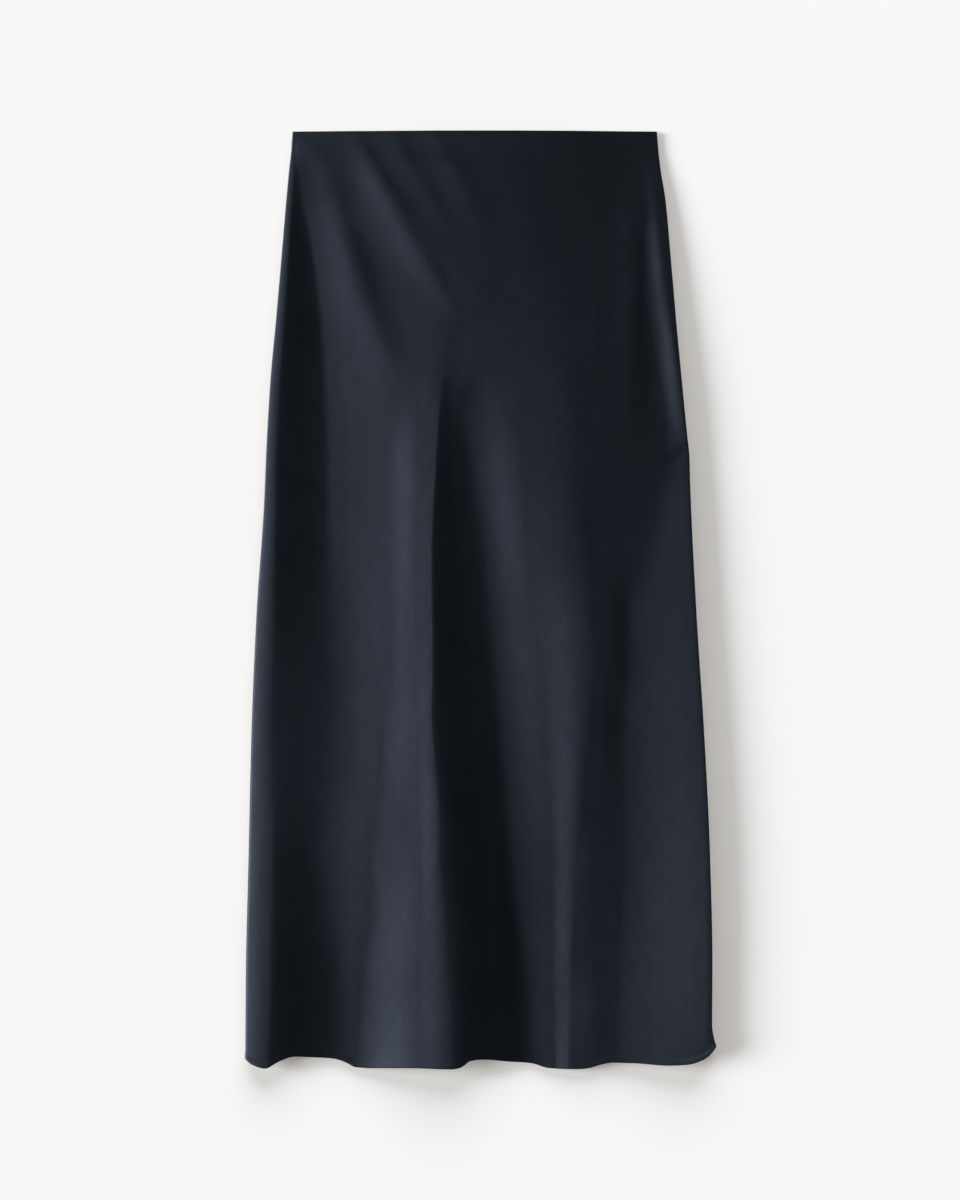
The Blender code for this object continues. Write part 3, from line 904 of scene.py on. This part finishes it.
def sew(name, line, material):
    """A row of stitches that follows a line, made once by a node tree and kept as a plain mesh."""
    shape = bpy.context.scene.skirt_shape
    path = bpy.data.meshes.new(name + "_path")
    path.from_pydata((line * MM).tolist(), [(i, i + 1) for i in range(len(line) - 1)], [])
    holder = bpy.data.objects.new(name + "_path", path)
    bpy.context.scene.collection.objects.link(holder)

    tree = bpy.data.node_groups.new("Stitches", "GeometryNodeTree")
    face = tree.interface
    face.new_socket("Geometry", in_out="INPUT", socket_type="NodeSocketGeometry")
    inputs = {
        label: face.new_socket(label, in_out="INPUT", socket_type=kind).identifier
        for label, kind in (
            ("Pitch", "NodeSocketFloat"),
            ("Length", "NodeSocketFloat"),
            ("Width", "NodeSocketFloat"),
            ("Thread", "NodeSocketMaterial"),
        )
    }
    face.new_socket("Geometry", in_out="OUTPUT", socket_type="NodeSocketGeometry")
    nodes, links = tree.nodes, tree.links

    def add(kind, **values):
        """A node with its inputs by name, each a plain value or another node's socket."""
        made = nodes.new(kind)
        for key, value in values.items():
            target = made.inputs[key.replace("_", " ")]
            if isinstance(value, bpy.types.NodeSocket):
                links.new(value, target)
            else:
                target.default_value = value
        return made

    start = nodes.new("NodeGroupInput")
    curve = add("GeometryNodeMeshToCurve", Mesh=start.outputs["Geometry"])
    spaced = nodes.new("GeometryNodeResampleCurve")
    spaced.mode = "LENGTH"
    links.new(curve.outputs[0], spaced.inputs["Curve"])
    links.new(start.outputs["Pitch"], spaced.inputs["Length"])
    ball = add("GeometryNodeMeshUVSphere", Segments=STITCH_SIDES, Rings=STITCH_RINGS, Radius=0.5)
    size = add(
        "ShaderNodeCombineXYZ",
        X=start.outputs["Length"],
        Y=start.outputs["Width"],
        Z=start.outputs["Width"],
    )
    stitch = add("GeometryNodeTransform", Geometry=ball.outputs["Mesh"], Scale=size.outputs[0])
    tangent = nodes.new("GeometryNodeInputTangent")
    turned = add("FunctionNodeAlignRotationToVector", Vector=tangent.outputs[0])
    turned.axis = "X"
    placed = add(
        "GeometryNodeInstanceOnPoints",
        Points=spaced.outputs[0],
        Instance=stitch.outputs[0],
        Rotation=turned.outputs[0],
    )
    real = add("GeometryNodeRealizeInstances", Geometry=placed.outputs[0])
    smooth_shade = add("GeometryNodeSetShadeSmooth", Geometry=real.outputs[0])
    coloured = add(
        "GeometryNodeSetMaterial", Geometry=smooth_shade.outputs[0], Material=start.outputs["Thread"]
    )
    links.new(coloured.outputs[0], nodes.new("NodeGroupOutput").inputs[0])

    modifier = holder.modifiers.new("Stitches", "NODES")
    modifier.node_group = tree
    modifier[inputs["Pitch"]] = shape.stitch_pitch
    modifier[inputs["Length"]] = shape.stitch
    modifier[inputs["Width"]] = shape.thread_width
    modifier[inputs["Thread"]] = material
    graph = bpy.context.evaluated_depsgraph_get()
    mesh = bpy.data.meshes.new_from_object(holder.evaluated_get(graph), depsgraph=graph)
    bpy.data.objects.remove(holder, do_unlink=True)
    mesh.name = name
    if len(mesh.polygons) == 0:
        raise RuntimeError(f"{name}: the stitches came out empty")
    return piece(name, mesh)


class SKIRT_OT_front_cloth(bpy.types.Operator):
    """Front of the skirt: one satin panel in soft long folds, with its hem stitches"""

    bl_idname = "skirt.front_cloth"
    bl_label = "Front"

    def execute(self, context):
        shape = context.scene.skirt_shape
        columns = finely(FOLD_COLUMNS, shape.detail)
        rolls = round(ROLL_COLUMNS * shape.detail)
        outer, inner = panel_faces(lambda down: front_section(down, columns, rolls), FRONT_HEM, 1)
        cloth = closed("front_cloth", outer, inner, False, satin("front_satin"))
        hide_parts("front_panel")
        stitches = sew("front_hem_stitches", seam_line(outer), thread("front_thread"))
        return {"FINISHED"}


class SKIRT_OT_back_cloth(bpy.types.Operator):
    """Back of the skirt: one satin panel that lies on the floor and curls up to the side seams"""

    bl_idname = "skirt.back_cloth"
    bl_label = "Back"

    def execute(self, context):
        shape = context.scene.skirt_shape
        columns = round(BACK_COLUMNS * shape.detail)
        rolls = round(ROLL_COLUMNS * shape.detail)
        outer, inner = panel_faces(
            lambda down: back_section(down, columns, rolls, JOIN_GAP), BACK_HEM, -1
        )
        cloth = closed("back_cloth", outer, inner, False, satin("back_satin"))
        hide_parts("back_panel")
        stitches = sew("back_hem_stitches", seam_line(inner), thread("back_thread"))
        return {"FINISHED"}


class SKIRT_OT_waistband_cloth(bpy.types.Operator):
    """Waistband: satin folded over elastic, one flattened ring"""

    bl_idname = "skirt.waistband_cloth"
    bl_label = "Waistband"

    def execute(self, context):
        shape = context.scene.skirt_shape
        over = finely(FOLD_COLUMNS, shape.detail)
        under, rolls = finely((BAND_BACK_COLUMNS, ROLL_COLUMNS), shape.detail)
        outer = band_face(BAND_ROWS, over, under, rolls)
        along = np.roll(outer, -1, axis=1) - np.roll(outer, 1, axis=1)
        out = unit(np.stack([-along[..., 2], np.zeros(outer.shape[:2]), along[..., 0]], axis=2))
        inner = outer - out * shape.band_wall / MM
        cloth = closed("waistband_cloth", outer, inner, True, satin("band_satin"))
        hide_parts("waistband")
        return {"FINISHED"}


# Where the soft lights stand; a bearing runs from +X towards +Y.
KEY_BEARING = math.radians(176)
FILL = {"width": math.radians(56), "height": math.radians(17), "bearing": math.radians(90)}
LOW_FILL = {"width": math.radians(60), "height": math.radians(30), "bearing": math.radians(-90)}

# The floor is so large that its edge shows from no side.
FLOOR_SIZE = 30.0  # half its side
FLOOR_ROUGHNESS = 0.9

SENSOR_WIDTH = 36.0  # millimetres


def sun(name, strength, width, height, bearing, shine=False):
    """A soft distant light: how high it stands, and its bearing from +X towards +Y."""
    light = bpy.data.lights.new(name, "SUN")
    light.energy = strength
    light.angle = width
    lamp = bpy.data.objects.new(name, light)
    lamp.rotation_euler = (0.0, math.pi / 2 - height, bearing)
    lamp.visible_glossy = shine
    bpy.context.scene.collection.objects.link(lamp)


def room(studio):
    """A dim room with a pale band round its horizon, which shows in the satin's gloss alone."""
    world = bpy.data.worlds.new("room")
    bpy.context.scene.world = world
    world.use_nodes = True
    world.cycles_visibility.diffuse = False
    tree = world.node_tree
    place = tree.nodes.new("ShaderNodeTexCoord")
    split = tree.nodes.new("ShaderNodeSeparateXYZ")
    band = tree.nodes.new("ShaderNodeMapRange")
    band.interpolation_type = "SMOOTHSTEP"
    background = tree.nodes["Background"]
    tree.links.new(place.outputs["Generated"], split.inputs[0])
    tree.links.new(split.outputs["Z"], band.inputs["Value"])
    band.inputs["From Max"].default_value = studio.rim_height
    band.inputs["To Min"].default_value = studio.rim
    band.inputs["To Max"].default_value = studio.room
    tree.links.new(band.outputs["Result"], background.inputs["Strength"])
    background.inputs["Color"].default_value = (1.0, 1.0, 1.0, 1.0)


class SKIRT_OT_studio(bpy.types.Operator):
    """Pale floor, soft lights and a camera that looks straight down"""

    bl_idname = "skirt.studio"
    bl_label = "Studio"

    def execute(self, context):
        studio = context.scene.skirt_studio
        mesh = bpy.data.meshes.new("floor")
        bm = bmesh.new()
        bmesh.ops.create_grid(bm, x_segments=2, y_segments=2, size=FLOOR_SIZE)
        bm.to_mesh(mesh)
        bm.free()
        floor = bpy.data.objects.new("floor", mesh)
        context.scene.collection.objects.link(floor)
        shader = Shader("floor")
        shader.set(
            Base_Color=colour(studio.floor_colour),
            Roughness=FLOOR_ROUGHNESS,
            Specular_IOR_Level=0.0,
            Emission_Color=colour(studio.glow_colour),
            Emission_Strength=studio.glow,
        )
        mesh.materials.append(shader.material)

        sun("key", studio.key, studio.key_width, studio.key_height, KEY_BEARING, shine=True)
        sun("fill", studio.fill, **FILL)
        sun("low fill", studio.low_fill, **LOW_FILL)
        room(studio)
        context.scene.view_settings.view_transform = "Standard"

        lens = bpy.data.cameras.new("camera")
        lens.lens = studio.lens
        lens.sensor_width = SENSOR_WIDTH
        camera = bpy.data.objects.new("camera", lens)
        camera.location = (0.0, 0.0, studio.camera_height)
        context.scene.collection.objects.link(camera)
        context.scene.camera = camera
        return {"FINISHED"}


class SKIRT_PT_build(bpy.types.Panel):
    """Builds each part of the skirt"""

    bl_idname = "SKIRT_PT_build"
    bl_label = "Midi Slip Skirt"
    bl_space_type = "VIEW_3D"
    bl_region_type = "UI"
    bl_category = "Skirt"

    def draw(self, context):
        for step in STEPS:
            self.layout.operator(step.bl_idname)
        for group in (context.scene.skirt_shape, context.scene.skirt_satin, context.scene.skirt_studio):
            for name in group.__annotations__:
                self.layout.prop(group, name)


GROUPS = {"skirt_shape": SkirtShape, "skirt_satin": SkirtSatin, "skirt_studio": SkirtStudio}
STEPS = (SKIRT_OT_back_cloth, SKIRT_OT_front_cloth, SKIRT_OT_waistband_cloth, SKIRT_OT_studio)


def register():
    for kind in (*GROUPS.values(), *STEPS, SKIRT_PT_build):
        bpy.utils.register_class(kind)
    for name, kind in GROUPS.items():
        setattr(bpy.types.Scene, name, PointerProperty(type=kind))


def unregister():
    for name in GROUPS:
        delattr(bpy.types.Scene, name)
    for kind in reversed((*GROUPS.values(), *STEPS, SKIRT_PT_build)):
        bpy.utils.unregister_class(kind)


def main():
    """Builds everything."""
    register()
    for group, step in (name.bl_idname.split(".") for name in STEPS):
        getattr(getattr(bpy.ops, group), step)()


if __name__ == "__main__":
    main()
